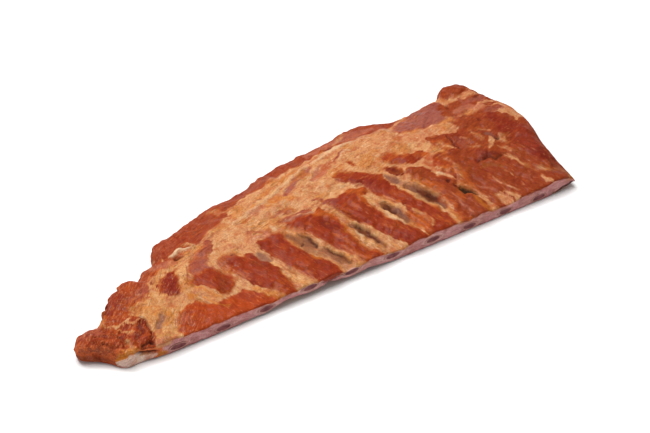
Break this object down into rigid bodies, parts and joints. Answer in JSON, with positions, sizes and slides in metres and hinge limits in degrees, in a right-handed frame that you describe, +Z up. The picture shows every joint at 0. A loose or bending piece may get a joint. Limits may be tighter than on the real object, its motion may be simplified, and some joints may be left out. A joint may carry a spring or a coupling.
{
  "type": "rack of ribs",
  "caption": "Cooked rack of spare ribs lying flat: a long tapering slab of meat and fat with the sawn ends of the rib bones in its straight near edge.",
  "frame": {"origin": "on the table, under the middle of the box round the whole rack", "axes": "+X along the rack towards its wide end, +Y away from the sawn edge towards the thin flap, +Z up"},
  "size_m": [0.4547, 0.1604, 0.0247],
  "materials": {
    "meat": "moist smoked meat and fat, satin with small wet glints",
    "bone": "sawn bone, dark marrow with a paler rim, matte"
  },
  "bodies": {
    "root": {"meat": "meat", "rib_bone_01": "bone", "rib_bone_02": "bone", "rib_bone_03": "bone", "rib_bone_04": "bone", "rib_bone_05": "bone", "rib_bone_06": "bone", "rib_bone_07": "bone", "rib_bone_08": "bone", "rib_bone_09": "bone", "rib_bone_10": "bone"}
  },
  "joints": []
}
